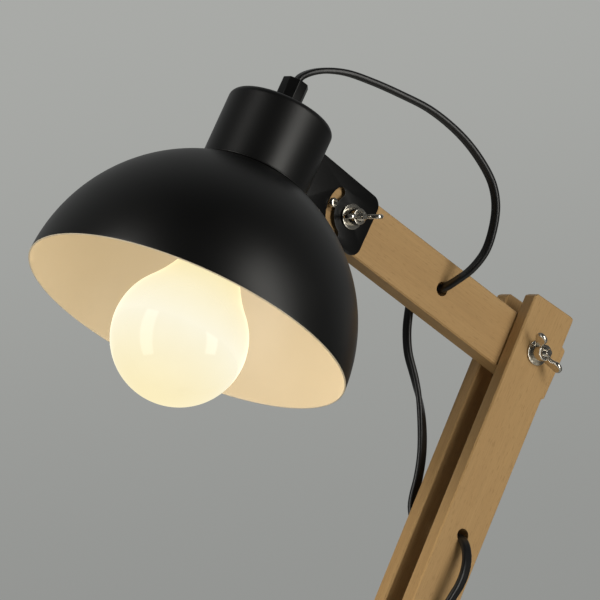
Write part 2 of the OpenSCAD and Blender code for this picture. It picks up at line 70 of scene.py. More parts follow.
ARM_HALF = 8 * MM        # half the arm's thickness
PLANK_FRONT = 20.8 * MM  # from the middle plane to the front of the planks
PLATE_FRONT = 11.3 * MM  # from the middle plane to the front of the bracket
SHADE_Y = -10.05 * MM
REACH = 88 * MM          # head pivot to shade axis
PIVOT_H = 135.7 * MM     # head pivot above the rim
SLOT_R = 19 * MM         # tilt slot about the head pivot
RIM_R = 117.7 * MM
DOME_R = 126.5 * MM      # arc that the dome's side follows
DOME_Z = -4 * MM         # its centre, below the rim
DOME_X = RIM_R - math.sqrt(DOME_R ** 2 - DOME_Z ** 2)   # and past the shade's axis
DOME_TOP = 115 * MM      # flat top of the dome, inside the neck
SHEET = 1.2 * MM
NECK_R = 38.3 * MM
NECK_TOP = 167 * MM
GRIP_H = 23.5 * MM
GLOBE_Z = -12.5 * MM     # the bulb's centre, below the rim

AT_PLANKS = Matrix.Translation(SHOULDER) @ rot_y(LEAN)
AT_ELBOW = Matrix.Translation(ELBOW) @ rot_y(LEAN)
AT_HEAD = Matrix.Translation(HEAD) @ rot_y(SLOPE)
AT_SHADE = AT_HEAD @ Matrix.Translation((-REACH, SHADE_Y, -PIVOT_H))
FORWARD = Matrix.Rotation(math.radians(90), 4, "X")   # local Z points to the front, -Y


# ---------------------------------------------------------------- camera
VIEW_TURN = math.radians(39.5)
RIGHT = Vector((math.cos(VIEW_TURN), -math.sin(VIEW_TURN), 0))
AHEAD = Vector((math.sin(VIEW_TURN), math.cos(VIEW_TURN), 0))
UP = Vector((0, 0, 1))


def make_camera():
    """Level camera, far off, so that one scale holds over the lamp."""
    view_m = 600 / 1439      # width of the view at the lamp, in metres
    distance = 10.2
    aim = ELBOW - 0.151 * RIGHT + 0.0366 * UP
    data = bpy.data.cameras.new("camera")
    data.sensor_width = 36
    data.lens = distance / view_m * data.sensor_width
    data.clip_end = 100
    camera = bpy.data.objects.new("camera", data)
    camera.location = aim - distance * AHEAD
    camera.rotation_euler = (math.radians(90), 0, -VIEW_TURN)
    bpy.context.scene.collection.objects.link(camera)
    bpy.context.scene.camera = camera


# ---------------------------------------------------------------- node helpers
class Shader:
    """A node material with one Principled shader and short ways to add to it."""

    def __init__(self, name, color, rough, metal=0.0, **inputs):
        self.mat = bpy.data.materials.new(name)
        self.mat.use_nodes = True
        self.nodes = self.mat.node_tree.nodes
        self.links = self.mat.node_tree.links
        self.bsdf = self.nodes["Principled BSDF"]
        self.bsdf.inputs["Base Color"].default_value = (*color, 1)
        self.bsdf.inputs["Roughness"].default_value = rough
        self.bsdf.inputs["Metallic"].default_value = metal
        for key, value in inputs.items():
            self.bsdf.inputs[key.replace("_", " ")].default_value = value
        self.heights = []

    def node(self, kind, **settings):
        made = self.nodes.new(kind)
        for key, value in settings.items():
            if key in made.inputs:
                made.inputs[key].default_value = value
            else:
                setattr(made, key, value)
        return made

    def link(self, out, to):
        self.links.new(out, to)

    def coords(self, scale=(1, 1, 1), turn=(0, 0, 0)):
        """Object coordinates, turned and then scaled."""
        place = self.node("ShaderNodeTexCoord")
        turned = self.node("ShaderNodeMapping", Rotation=turn)
        scaled = self.node("ShaderNodeMapping", Scale=scale)
        self.link(place.outputs["Object"], turned.inputs["Vector"])
        self.link(turned.outputs["Vector"], scaled.inputs["Vector"])
        return scaled.outputs["Vector"]

    def noise(self, vector, scale, detail=3.0, rough=0.5, distort=0.0):
        made = self.node("ShaderNodeTexNoise", Scale=scale, Detail=detail,
                         Roughness=rough, Distortion=distort)
        self.link(vector, made.inputs["Vector"])
        return made.outputs["Fac"]

    def ramp(self, value, *stops):
        made = self.node("ShaderNodeValToRGB")
        ramp = made.color_ramp
        while len(ramp.elements) < len(stops):
            ramp.elements.new(0.5)
        for element, (at, color) in zip(ramp.elements, stops):
            element.position = at
            element.color = (*color, 1) if len(color) == 3 else (color[0],) * 3 + (1,)
        self.link(value, made.inputs["Fac"])
        return made.outputs["Color"]

    def mix(self, kind, factor, a, b):
        made = self.node("ShaderNodeMix", data_type="RGBA", blend_type=kind)
        for value, socket in ((factor, made.inputs[0]), (a, made.inputs[6]), (b, made.inputs[7])):
            if isinstance(value, bpy.types.NodeSocket):
                self.link(value, socket)
            elif isinstance(value, (int, float)):
                socket.default_value = value
            else:
                socket.default_value = (*value, 1)
        return made.outputs[2]

    def bump(self, height, strength, distance):
        made = self.node("ShaderNodeBump", Strength=strength, Distance=distance)
        self.link(height, made.inputs["Height"])
        if self.heights:
            self.link(self.heights[-1], made.inputs["Normal"])
        self.heights.append(made.outputs["Normal"])
        self.link(made.outputs["Normal"], self.bsdf.inputs["Normal"])


def beech(name, along, shift):
    """Oiled beech with its grain turned by `along` about Y from the vertical."""
    s = Shader(name, (0.4, 0.25, 0.1), 0.5, Specular_IOR_Level=0.3)
    turn = (0, -along, 0)
    bands = s.noise(s.coords((26, 60, 2.2), turn), 1.0 + shift, 4, 0.55, 0.5)
    base = s.ramp(bands, (0.28, (0.40, 0.238, 0.095)), (0.5, (0.44, 0.268, 0.110)),
                  (0.72, (0.475, 0.297, 0.126)))
    fine = s.noise(s.coords((1100, 1100, 30), turn), 1.0, 3, 0.6)
    streaked = s.mix("MULTIPLY", 0.4, base, s.ramp(fine, (0.3, (0.76,)), (0.62, (1.0,))))
    flecks = s.noise(s.coords((1100, 1500, 170), turn), 1.0, 1, 0.4)
    dark = s.ramp(flecks, (0.60, (0.0,)), (0.74, (0.55,)))
    color = s.mix("MIX", dark, streaked, (0.30, 0.17, 0.065))
    s.link(color, s.bsdf.inputs["Base Color"])
    s.link(s.ramp(fine, (0.2, (0.57,)), (0.8, (0.45,))), s.bsdf.inputs["Roughness"])
    s.bump(flecks, 0.08, 0.0002)
    s.bump(fine, 0.08, 0.0001)
    return s.mat


def powder_coat(name, rough=0.40, level=0.34):
    """Black satin powder coat: a fine orange peel over an even colour."""
    s = Shader(name, (0.0014, 0.0014, 0.0014), rough, Specular_IOR_Level=level)
    peel = s.noise(s.coords((1, 1, 1)), 1900, 2, 0.5)
    cloud = s.noise(s.coords((1, 1, 1)), 14, 2, 0.5)
    s.link(s.ramp(cloud, (0.3, (rough - 0.03,)), (0.7, (rough + 0.03,))),
           s.bsdf.inputs["Roughness"])
    s.bump(peel, 0.10, 0.00012)
    return s.mat


def cream_lining(name):
    """The shade's inside: a warm off-white satin paint."""
    s = Shader(name, (0.60, 0.50, 0.36), 0.45)
    peel = s.noise(s.coords((1, 1, 1)), 1500, 2, 0.5)
    cloud = s.noise(s.coords((1, 1, 1)), 9, 2, 0.5)
    s.link(s.ramp(cloud, (0.3, (0.58, 0.485, 0.335)), (0.7, (0.62, 0.525, 0.375))),
           s.bsdf.inputs["Base Color"])
    s.bump(peel, 0.08, 0.0001)
    return s.mat


def plated(name, color=(0.66, 0.62, 0.55), rough=0.17):
    """Bright zinc or nickel plate, with a slight cloudiness and fine pits."""
    s = Shader(name, color, rough, 1.0)
    cloud = s.noise(s.coords((1, 1, 1)), 260, 4, 0.6)
    pits = s.noise(s.coords((1, 1, 1)), 1600, 2, 0.6)
    s.link(s.ramp(cloud, (0.3, (rough - 0.03,)), (0.75, (rough + 0.06,))),
           s.bsdf.inputs["Roughness"])
    tint = [c * 0.9 for c in color]
    s.link(s.ramp(cloud, (0.25, tint), (0.7, color)), s.bsdf.inputs["Base Color"])
    s.bump(pits, 0.05, 0.00006)
    return s.mat


def plastic(name):
    """Black moulded plastic with a fine spark-eroded texture."""
    rough = 0.34
    s = Shader(name, (0.0025, 0.0025, 0.0025), rough, Specular_IOR_Level=0.25)
    grain = s.noise(s.coords((1, 1, 1)), 2600, 2, 0.6)
    cloud = s.noise(s.coords((1, 1, 1)), 60, 2, 0.5)
    s.link(s.ramp(cloud, (0.3, (rough - 0.05,)), (0.7, (rough + 0.06,))),
           s.bsdf.inputs["Roughness"])
    s.bump(grain, 0.18, 0.0001)
    return s.mat


def sheath(name):
    """Satin PVC of the flat flex, with faint drawing marks."""
    s = Shader(name, (0.005, 0.005, 0.0052), 0.36, Specular_IOR_Level=0.4)
    smear = s.noise(s.coords((1, 1, 1)), 320, 3, 0.6)
    s.link(s.ramp(smear, (0.3, (0.30,)), (0.7, (0.36,))), s.bsdf.inputs["Roughness"])
    s.bump(smear, 0.02, 0.0001)
    return s.mat


def felt(name):
    s = Shader(name, (0.02, 0.02, 0.021), 0.95, Sheen_Weight=0.4)
    fuzz = s.noise(s.coords((1, 1, 1)), 1200, 4, 0.7)
    s.link(s.ramp(fuzz, (0.3, (0.012, 0.012, 0.012)), (0.7, (0.035, 0.035, 0.036))),
           s.bsdf.inputs["Base Color"])
    s.bump(fuzz, 0.5, 0.0004)
    return s.mat


def fibre(name):
    s = Shader(name, (0.07, 0.035, 0.02), 0.7)
    mottle = s.noise(s.coords((1, 1, 1)), 700, 4, 0.6)
    s.link(s.ramp(mottle, (0.3, (0.045, 0.022, 0.012)), (0.7, (0.10, 0.05, 0.028))),
           s.bsdf.inputs["Base Color"])
    s.bump(mottle, 0.25, 0.0002)
    return s.mat


def lit_opal(name):
    """Opal glass that glows, and still takes soft reflections."""
    s = Shader(name, (0.01, 0.01, 0.008), 0.1, Specular_IOR_Level=0.16, Coat_Weight=0.05)
    s.bsdf.inputs["Emission Strength"].default_value = 0.985
    place = s.node("ShaderNodeTexCoord")
    back = s.node("ShaderNodeMapping", vector_type="POINT")
    inverse = AT_SHADE.inverted()
    back.inputs["Location"].default_value = inverse.to_translation()
    back.inputs["Rotation"].default_value = inverse.to_euler()
    s.link(place.outputs["Object"], back.inputs["Vector"])
    split = s.node("ShaderNodeSeparateXYZ")
    s.link(back.outputs["Vector"], split.inputs["Vector"])
    height = s.node("ShaderNodeMapRange")
    bottom, top = -60 * MM, 55 * MM
    height.inputs["From Min"].default_value = bottom
    height.inputs["From Max"].default_value = top
    s.link(split.outputs["Z"], height.inputs["Value"])
    cloud = s.noise(s.coords((1, 1, 1)), 30, 2, 0.5)
    glow = s.ramp(height.outputs["Result"], (0.0, (0.985, 0.87, 0.54)),
                  (0.4, (1.0, 0.955, 0.77)), (0.9, (0.96, 0.83, 0.45)))
    soft = s.ramp(cloud, (0.2, (0.97, 0.96, 0.94)), (0.8, (1.0, 1.0, 1.0)))
    s.link(s.mix("MULTIPLY", 1.0, glow, soft), s.bsdf.inputs["Emission Color"])
    return s.mat


# ---------------------------------------------------------------- mesh helpers
def finish_mesh(name, bm, matrix, mats, smooth_angle=35):
    """Turns a bmesh into an object whose mesh is in the frame's own coordinates."""
    bmesh.ops.remove_doubles(bm, verts=bm.verts, dist=1e-7)
    bmesh.ops.recalc_face_normals(bm, faces=bm.faces)
    mesh = bpy.data.meshes.new(name)
    bm.to_mesh(mesh)
    bm.free()
    mesh.transform(matrix)
    for mat in mats if isinstance(mats, (list, tuple)) else [mats]:
        mesh.materials.append(mat)
    shade_smooth(mesh, smooth_angle)
    made = bpy.data.objects.new(name, mesh)
    bpy.context.scene.collection.objects.link(made)
    return made


def shade_smooth(mesh, angle):
    """Smooth shading with sharp edges past the angle."""
    mesh.polygons.foreach_set("use_smooth", [True] * len(mesh.polygons))
    mesh.set_sharp_from_angle(angle=math.radians(angle))


def arc(cx, cy, r, a0, a1, steps):
    """Points of an arc, angles in degrees."""
    return [(cx + r * math.cos(math.radians(a0 + (a1 - a0) * i / steps)),
             cy + r * math.sin(math.radians(a0 + (a1 - a0) * i / steps)))
            for i in range(steps + 1)]


def revolve(name, outline, matrix, mats, steps=96, inner=None, closed=True):
    """Solid of revolution about local Z. `inner(r, z)` marks faces for the second material."""
    bm = bmesh.new()
    rings = []
    for r, z in outline:
        if r < 1e-7:
            rings.append([bm.verts.new((0, 0, z))])
        else:
            rings.append([bm.verts.new((r * math.cos(2 * math.pi * k / steps),
                                        r * math.sin(2 * math.pi * k / steps), z))
                          for k in range(steps)])
    count = len(rings) if closed else len(rings) - 1
    for i in range(count):
        a, b = rings[i], rings[(i + 1) % len(rings)]
        mid = [(p + q) / 2 for p, q in zip(outline[i], outline[(i + 1) % len(outline)])]
        for k in range(steps):
            n = (k + 1) % steps
            corners = [a[k % len(a)], a[n % len(a)], b[n % len(b)], b[k % len(b)]]
            corners = list(dict.fromkeys(corners))
            if len(corners) > 2:
                face = bm.faces.new(corners)
                if inner and inner(*mid):
                    face.material_index = 1
    return finish_mesh(name, bm, matrix, mats)


def slab(name, outline, holes, thick, bevel, matrix, mats):
    """Flat plate in local XY from z = 0 to z = thick, with rounded edges and holes."""
    data = bpy.data.curves.new(name, "CURVE")
    data.dimensions = "2D"
    data.fill_mode = "BOTH"
    data.extrude = thick / 2 - bevel
    data.bevel_depth = bevel
    data.bevel_resolution = 3
    data.offset = -bevel
    for points in [outline, *holes]:
        spline = data.splines.new("POLY")
        spline.points.add(len(points) - 1)
        for point, (x, y) in zip(spline.points, points):
            point.co = (x, y, 0, 1)
        spline.use_cyclic_u = True
    holder = bpy.data.objects.new(name, data)
    bpy.context.scene.collection.objects.link(holder)
    bpy.context.view_layer.update()
    mesh = bpy.data.meshes.new_from_object(
        holder.evaluated_get(bpy.context.evaluated_depsgraph_get()))
    bpy.data.objects.remove(holder)
    bm = bmesh.new()
    bm.from_mesh(mesh)
    bpy.data.meshes.remove(mesh)
    bmesh.ops.translate(bm, verts=bm.verts, vec=(0, 0, thick / 2))
    return finish_mesh(name, bm, matrix, mats)


def smooth_path(points, gap):
    """Points along a smooth curve through the given ones, about `gap` apart."""
    pts = [Vector(p) for p in points]
    pts = [2 * pts[0] - pts[1], *pts, 2 * pts[-1] - pts[-2]]
    out = []
    for i in range(1, len(pts) - 2):
        p0, p1, p2, p3 = pts[i - 1:i + 3]
        d1 = math.sqrt((p1 - p0).length)
        d2 = math.sqrt((p2 - p1).length)
        d3 = math.sqrt((p3 - p2).length)
        m1 = (p2 - p1) + d2 * ((p1 - p0) / d1 - (p2 - p0) / (d1 + d2))
        m2 = (p2 - p1) + d2 * ((p3 - p2) / d3 - (p3 - p1) / (d2 + d3))
        steps = max(1, round((p2 - p1).length / gap))
        for k in range(steps):
            t = k / steps
            out.append((2 * t**3 - 3 * t**2 + 1) * p1 + (t**3 - 2 * t**2 + t) * m1
                       + (-2 * t**3 + 3 * t**2) * p2 + (t**3 - t**2) * m2)
    out.append(pts[-2])
    return out


def path_length(path):
    return sum((b - a).length for a, b in zip(path, path[1:]))


def twin_flex(width, thick, steps=28):
    """Section of flat two-core flex: two round cores side by side with a shallow groove."""
    core = thick / 2
    apart = width / 2 - core
    out = []
    for k in range(steps):
        a = 2 * math.pi * k / steps
        x = math.copysign(apart, math.cos(a)) * min(1, abs(math.cos(a)) * 2.2) + core * math.cos(a)
        groove = 1 - 0.13 * math.exp(-((x / (0.22 * width)) ** 2))
        out.append((x, core * math.sin(a) * groove))
    return out


def sweep(name, path, section, flat_side, matrix, mats):
    """Sweeps a section along a path. flat_side(t, tangent) gives its wide direction, t from 0 to 1."""
    bm = bmesh.new()
    rings = []
    last = len(path) - 1
    for i, point in enumerate(path):
        tangent = (path[min(i + 1, last)] - path[max(i - 1, 0)]).normalized()
        wide = flat_side(i / last, tangent)
        wide = (wide - wide.dot(tangent) * tangent).normalized()
        thin = tangent.cross(wide)
        rings.append([bm.verts.new(point + x * wide + y * thin) for x, y in section])
    n = len(section)
    for a, b in zip(rings, rings[1:]):
        for k in range(n):
            bm.faces.new((a[k], a[(k + 1) % n], b[(k + 1) % n], b[k]))
    bm.faces.new(rings[0][::-1])
    bm.faces.new(rings[-1])
    return finish_mesh(name, bm, matrix, mats, 60)


def turning(*stops):
    """Wide direction of a flat cord: vectors blended between stops (place, vector)."""
    def side(t, _tangent):
        for (t0, v0), (t1, v1) in zip(stops, stops[1:]):
            if t <= t1:
                w = (t - t0) / (t1 - t0)
                w = w * w * (3 - 2 * w)
                return Vector(v0).lerp(Vector(v1), w)
        return Vector(stops[-1][1])
    return side


def joined(name, parts):
    """One object out of several that share a material list."""
    bm = bmesh.new()
    for part in parts:
        bm.from_mesh(part.data)
    mesh = parts[0].data
    bm.to_mesh(mesh)
    bm.free()
    for part in parts[1:]:
        bpy.data.objects.remove(part)
    parts[0].name = name
    return parts[0]


def circle_outline(r, steps=48):
    return arc(0, 0, r, 0, 360, steps)[:-1]


def rounded_polygon(corners, r, steps=6):
    """Convex outline with each corner replaced by an arc of radius r."""
    out = []
    count = len(corners)
    for k in range(count):
        before, at, after = (Vector(corners[(k + d) % count]) for d in (-1, 0, 1))
        u = (before - at).normalized()
        v = (after - at).normalized()
        half = u.angle(v) / 2
        centre = at + (u + v).normalized() * r / math.sin(half)
        a = at + u * r / math.tan(half) - centre
        b = at + v * r / math.tan(half) - centre
        turn = math.atan2(a.x * b.y - a.y * b.x, a.dot(b))
        start = math.atan2(a.y, a.x)
        out += [(centre.x + r * math.cos(start + turn * i / steps),
                 centre.y + r * math.sin(start + turn * i / steps)) for i in range(steps + 1)]
    return out


def place(piece, body, slot, *nodes):
    """The piece rides on a body and stands for CAD nodes, which it hides. The slot is not used."""
    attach(piece, body)
    if nodes:
        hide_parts(*nodes)
    return piece


# ---------------------------------------------------------------- cord
CORD_W = 7.2 * MM
CORD_T = 4.7 * MM
FLEX = twin_flex(CORD_W, CORD_T)
ALONG = Vector((1, 0, 0))
BACK = Vector((0, 1, 0))

# each route repeats the CAD model's, in millimetres; the first three are measured from the elbow
AXIS_UP = AT_SHADE.to_3x3() @ UP
GRIP_TOP = AT_SHADE @ Vector((0, 0, NECK_TOP + GRIP_H))
HEAD_ROUTE = [
    (-203.5, -10, 189.3), (-196, -10.6, 192.3), (-184, -12.5, 194), (-168, -16, 192.7),
    (-150, -21, 187), (-128, -27, 178), (-105, -32, 167.2), (-83, -37, 150.5), (-68.3, -40, 134),
    (-58, -41.5, 117), (-54.3, -41, 102), (-54.3, -38, 86), (-57.2, -33, 70), (-64, -26, 57.6),
    (-71, -18, 49.8), (-74.4, -10, 45.2), (-75, -6, 44.2), (-75, 0, 44.2)]
ELBOW_ROUTE = [
    (-75, 0, 44.2), (-75, 9, 44.2), (-74.9, 19, 41.5), (-74.6, 26.3, 34.2), (-74.5, 29.3, 24),
    (-74.9, 30, 13), (-74.4, 29.2, 0), (-70.3, 27, -18), (-66.7, 25.6, -36), (-64.9, 25.5, -54),
    (-63.9, 27.3, -71), (-64.3, 30.6, -87), (-66, 33.2, -99), (-67, 33.6, -107),
    (-67.3, 31, -116.3), (-67.2, 26.7, -121.6), (-67.1, 20.9, -124.9), (-67.1, 14.4, -126.3),
    (-67.1, 0, -126.3)]
SHOULDER_ROUTE = [
    (-67.1, 0, -126.3), (-67.1, -9, -126.3), (-67.6, -19.5, -128.1), (-69.5, -26.3, -133),
    (-72, -31, -140), (-75.5, -34.2, -147), (-79, -35.8, -153.5), (-83, -35.8, -160.5),
    (-88, -34, -168.5), (-94, -31, -180), (-101, -28, -192), (-112, -25.5, -212),
    (-126.8, -25, -238.4), (-134, -25, -252), (-141, -27, -267), (-148, -31, -286),
    (-153, -35, -306), (-156, -38, -328), (-158, -40, -352), (-160, -41, -376), (-163, -41, -400),
    (-168, -38.5, -424), (-174, -34.5, -441), (-179, -30.6, -453), (-183.2, -26, -463),
    (-186, -19, -470.3), (-187.8, -10, -473.2), (-187.8, 0, -473.2)]
POST_ROUTE = [
    (0, 0, 740), (0, 8, 740), (0, 18, 737.3), (0, 25.3, 730), (0, 28, 719), (0, 26, 703),
    (0, 20.5, 682), (0, 15.5, 658), (0, 12.4, 628), (0, 12, 520), (0, 12, 380), (0, 12, 230),
    (0, 13, 130), (0, 15.5, 100), (0, 17, 75), (0, 19, 54), (0, 25, 34), (0, 35, 21), (0, 50, 16),
    (0, 75, 15.3), (0, 105, 15.3), (0, 134, 15.8), (2, 147, 14), (6, 160, 9), (12, 172, 4.6),
    (23, 186, 3.4), (36, 198, 3.4), (51, 208, 3.4), (64, 214.5, 4.6), (76, 218, 7.6), (86, 218, 8)]
LEAD_ROUTE = [
    (150, 218, 8), (160, 218, 7.6), (170, 221, 4.6), (179, 227, 3.4), (186, 236, 3.4),
    (190, 248, 3.4), (191, 262, 3.4), (191, 280, 3.4), (191, 296, 3.4)]
TAIL_ROUTE = [
    (117, 345.2, 9.4), (107, 344.4, 8), (97, 343.4, 7.1), (86, 343, 7)]
COIL_AT = Vector((140, 300, 0))

# the coil stands on edge: three turns side by side from the outside in, then three back out on top
COIL_RADII = [(0.02, 50.9), (0.2, 44.9), (0.9, 44.9), (1.1, 40), (1.9, 40), (2.1, 35.1), (3.3, 35.1),
              (3.6, 40), (4.3, 40), (4.6, 44.9), (5.1, 44.9), (5.31, 50.4)]
COIL_HEIGHTS = [(0.02, 3.4), (0.1, 3.9), (2.5, 3.9), (3.0, 11.3), (5.05, 11.3), (5.31, 9.6)]


def eased(stops, t):
    """Value at t between given stops, easing in and out of each."""
    for (t0, v0), (t1, v1) in zip(stops, stops[1:]):
        if t <= t1:
            w = min(1, max(0, (t - t0) / (t1 - t0)))
            return v0 + (v1 - v0) * w * w * (3 - 2 * w)
    return stops[-1][1]


def coil_points(per_turn=40):
    start, end = COIL_RADII[0][0], COIL_RADII[-1][0]
    count = round((end - start) * per_turn)
    out = []
    for i in range(count + 1):
        turns = start + (end - start) * i / count
        angle = 2 * math.pi * turns
        r = eased(COIL_RADII, turns)
        out.append(COIL_AT + Vector((r * math.cos(angle), r * math.sin(angle),
                                     eased(COIL_HEIGHTS, turns))))
    return out


def routed(route, origin=Vector((0, 0, 0)), lead_in=()):
    return smooth_path([*lead_in, *(origin + Vector(p) * MM for p in route)], 3 * MM)


def on_floor(path, edge=lambda t: 0):
    """Rests the low parts of a path on the floor. edge(t) is 0 where the flex lies flat and 1 on edge."""
    out = []
    for i, p in enumerate(path):
        tilt = edge(i / (len(path) - 1)) * math.pi / 2
        low = CORD_T / 2 + (CORD_W - CORD_T) / 2 * math.sin(tilt) + 0.15 * MM
        weight = min(1, max(0, (6 * MM - p.z) / (2 * MM)))
        out.append(p + UP * (low - p.z) * weight)
    return out


def lay_cord(name, path, side, mat, body, nodes, pieces=(), blend=None):
    flex = sweep(name, path, FLEX, side, Matrix.Identity(4), mat)
    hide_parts(*nodes)
    if blend:
        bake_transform(flex)
    else:
        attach(flex, body)
    return flex


def level_side(_t, tangent):
    """Lies flat on the floor, and flat against the back of the post."""
    return 0.6 * ALONG + tangent.cross(UP)


def relief(name, path, mat, side):
    """Ribbed sleeve that tapers along the start of a path."""
    length = path_length(path)
    bm = bmesh.new()
    rings = []
    run = 0.0
    for i, point in enumerate(path):
        run += (point - path[i - 1]).length if i else 0
        t = run / length
        rib = 0.45 * MM * max(0.0, math.cos(2 * math.pi * 5 * t)) * (t < 0.95)
        wide_r = (6.0 - 1.6 * t) * MM + rib
        thin_r = (5.2 - 2.3 * t) * MM + rib
        tangent = (path[min(i + 1, len(path) - 1)] - path[max(i - 1, 0)]).normalized()
        wide = side(t, tangent)
        wide = (wide - wide.dot(tangent) * tangent).normalized()
        thin = tangent.cross(wide)
        rings.append([bm.verts.new(point + wide * wide_r * math.cos(a) + thin * thin_r * math.sin(a))
                      for a in (2 * math.pi * k / 24 for k in range(24))])
    for a, b in zip(rings, rings[1:]):
        for k in range(24):
            bm.faces.new((a[k], a[(k + 1) % 24], b[(k + 1) % 24], b[k]))
    bm.faces.new(rings[0][::-1])
    bm.faces.new(rings[-1])
    return finish_mesh(name, bm, Matrix.Identity(4), mat)


def part_of(path, length):
    """The first stretch of a path, with points close together."""
    out = [path[0]]
    for a, b in zip(path, path[1:]):
        for k in range(1, 5):
            out.append(a.lerp(b, k / 4))
            if path_length(out) >= length:
                return out
    return out


def coil_tie(mat):
    """Hook and loop strap round the coil's turns."""
    angle = math.radians(200)
    out = Vector((math.cos(angle), math.sin(angle), 0))
    centre = (COIL_AT + 40 * out + Vector((0, 0, 7.7))) * MM
    turn = Matrix((out, UP, out.cross(UP))).transposed().to_4x4()
    box = [(-8.6, -7.5), (8.6, -7.5), (8.6, 8.2), (-8.6, 8.2)]
    outer = rounded_polygon([(x * MM, y * MM) for x, y in box], 2.6 * MM)
    inner = rounded_polygon([(x * MM * 0.88, y * MM * 0.88) for x, y in box], 2 * MM)
    strap = slab("coil_tie", outer, [inner], 14 * MM, 0.3 * MM,
                 Matrix.Translation(centre) @ turn @ Matrix.Translation((0, 0, -7 * MM)), mat)
    return place(strap, "stand", "felt")


def make_cords(mat, switch, plug, strap_mat, moulded):
    head = routed(HEAD_ROUTE, ELBOW, [GRIP_TOP - 10 * MM * AXIS_UP, GRIP_TOP])
    lay_cord("flex_head", head, turning((0, BACK), (1, BACK)), mat, None, ["cord_head"],
             blend=("head", "arm", head[4], ELBOW + Vector((-64, -22, 60)) * MM))
    elbow = routed(ELBOW_ROUTE, ELBOW)
    lay_cord("flex_elbow", elbow,
             turning((0, UP), (0.12, UP), (0.3, BACK), (0.6, ALONG), (1, ALONG)), mat,
             None, ["cord_elbow"],
             blend=("arm", "plank_pair", ELBOW + Vector((-76, 29, 20)) * MM,
                    ELBOW + Vector((-66, 29, -90)) * MM))
    shoulder = routed(SHOULDER_ROUTE, ELBOW)
    lay_cord("flex_shoulder", shoulder, turning((0, ALONG), (1, ALONG)), mat,
             None, ["cord_shoulder"],
             blend=("plank_pair", "stand", ELBOW + Vector((-140, -27, -266)) * MM,
                    ELBOW + Vector((-186, -27, -464)) * MM))
    post = on_floor(routed(POST_ROUTE))
    sleeve = 23 * MM
    first = relief("switch_relief_in", part_of(post[::-1], sleeve), moulded, level_side)
    lay_cord("flex_post", post, level_side, mat, "stand", ["cord_post"],
             [*switch, place(first, "stand", "black_plastic")])
    lead = [*(Vector(p) for p in LEAD_ROUTE[:-1]), *coil_points(), *(Vector(p) for p in TAIL_ROUTE[1:])]

    def edge(t):
        """Flat by the switch and the plug, on edge in the coil."""
        return min(eased([(0.06, 0), (0.115, 1)], t), eased([(0.955, 1), (0.99, 0)], t))

    lead = on_floor(smooth_path([p * MM for p in lead], 3 * MM), edge)
    second = relief("switch_relief_out", part_of(lead, sleeve), moulded, level_side)

    def standing(t, tangent):
        turn = edge(t) * math.pi / 2
        return tangent.cross(UP).normalized() * math.cos(turn) + UP * math.sin(turn)

    lay_cord("flex_lead", lead, standing, mat, "stand", ["cord_lead", "cord_coil", "cord_tail"],
             [place(second, "stand", "black_plastic"), coil_tie(strap_mat), *plug])


# ---------------------------------------------------------------- wood
def beech_pieces():
    """The CAD's bars keep their shape and get grain along their own length."""
    arm_grain = SLOPE + math.radians(90)
    finish_nodes(beech("beech_front_plank", LEAN, 0.0), "front_plank")
    finish_nodes(beech("beech_back_plank", LEAN, 0.37), "back_plank")
    finish_nodes(beech("beech_arm", arm_grain, 0.2), "upper_arm")
    finish_nodes(beech("beech_post", 0.0, 0.11), "post")
    finish_nodes(beech("beech_spacer", LEAN, 0.53), "plank_spacer")


def finish_nodes(mat, *names):
    """Gives CAD nodes that keep their shape a procedural material."""
    for name in names:
        mesh = frame["nodes"][name].data
        mesh.materials.clear()
        mesh.materials.append(mat)


# ---------------------------------------------------------------- shade
def dome_angle(r, z=None):
    """Angle on the dome's arc, in degrees, at a radius or at a height."""
    if z is None:
        return math.degrees(math.acos((r - DOME_X) / DOME_R))
    return math.degrees(math.asin((z - DOME_Z) / DOME_R))


def dome_shell(coat, lining):
    """Spun shell, black outside and cream inside, with a rounded lip."""
    lip = SHEET / 2
    top = dome_angle(None, DOME_TOP)
    inner_top = math.degrees(math.asin((DOME_TOP - SHEET - DOME_Z) / (DOME_R - SHEET)))
    rim = dome_angle(None, lip)
    outer = arc(DOME_X, DOME_Z, DOME_R, rim, top, 72)
    inside = arc(DOME_X, DOME_Z, DOME_R - SHEET, inner_top, rim, 72)
    mid = Vector(outer[0]).lerp(Vector(inside[-1]), 0.5)
    bead = arc(mid.x, mid.y, lip, 180, 360, 8)[1:-1]
    hole = 5.1 * MM
    outline = outer + [(hole, DOME_TOP), (hole, DOME_TOP - SHEET)] + inside + bead
    skin = DOME_R - SHEET * 0.5

    def lined(r, z):
        below = z < mid.y + 0.1 * MM and r < mid.x + 0.58 * MM
        return below or (math.hypot(r - DOME_X, z - DOME_Z) < skin and z < DOME_TOP - SHEET * 0.5)

    shell = revolve("dome_shell", outline, AT_SHADE, [coat, lining], 192, inner=lined)
    return place(shell, "head", "shade_coat", "shade_dome")


def neck_shell(coat):
    """Closed cup on top of the dome, with a soft top edge and a small bead where it sits."""
    seat = DOME_Z + DOME_R * math.sin(math.radians(dome_angle(NECK_R)))
    round_r = 5 * MM
    inner = NECK_R - SHEET
    seat_in = DOME_Z + DOME_R * math.sin(math.radians(dome_angle(inner)))
    hole = 5.1 * MM
    outline = ([(hole, NECK_TOP)] + arc(NECK_R - round_r, NECK_TOP - round_r, round_r, 90, 0, 12)
               + [(NECK_R, seat + 1.8 * MM)]
               + arc(NECK_R - 0.1 * MM, seat + 0.9 * MM, 0.7 * MM, 80, -70, 6)
               + [(NECK_R - 0.3 * MM, seat + 0.1 * MM), (inner, seat_in + 0.1 * MM)]
               + arc(inner - 4 * MM, NECK_TOP - SHEET - 4 * MM, 4 * MM, 0, 90, 8)
               + [(hole, NECK_TOP - SHEET)])
    shell = revolve("neck_shell", outline, AT_SHADE, coat, 128)
    return place(shell, "head", "shade_coat", "neck_cup")


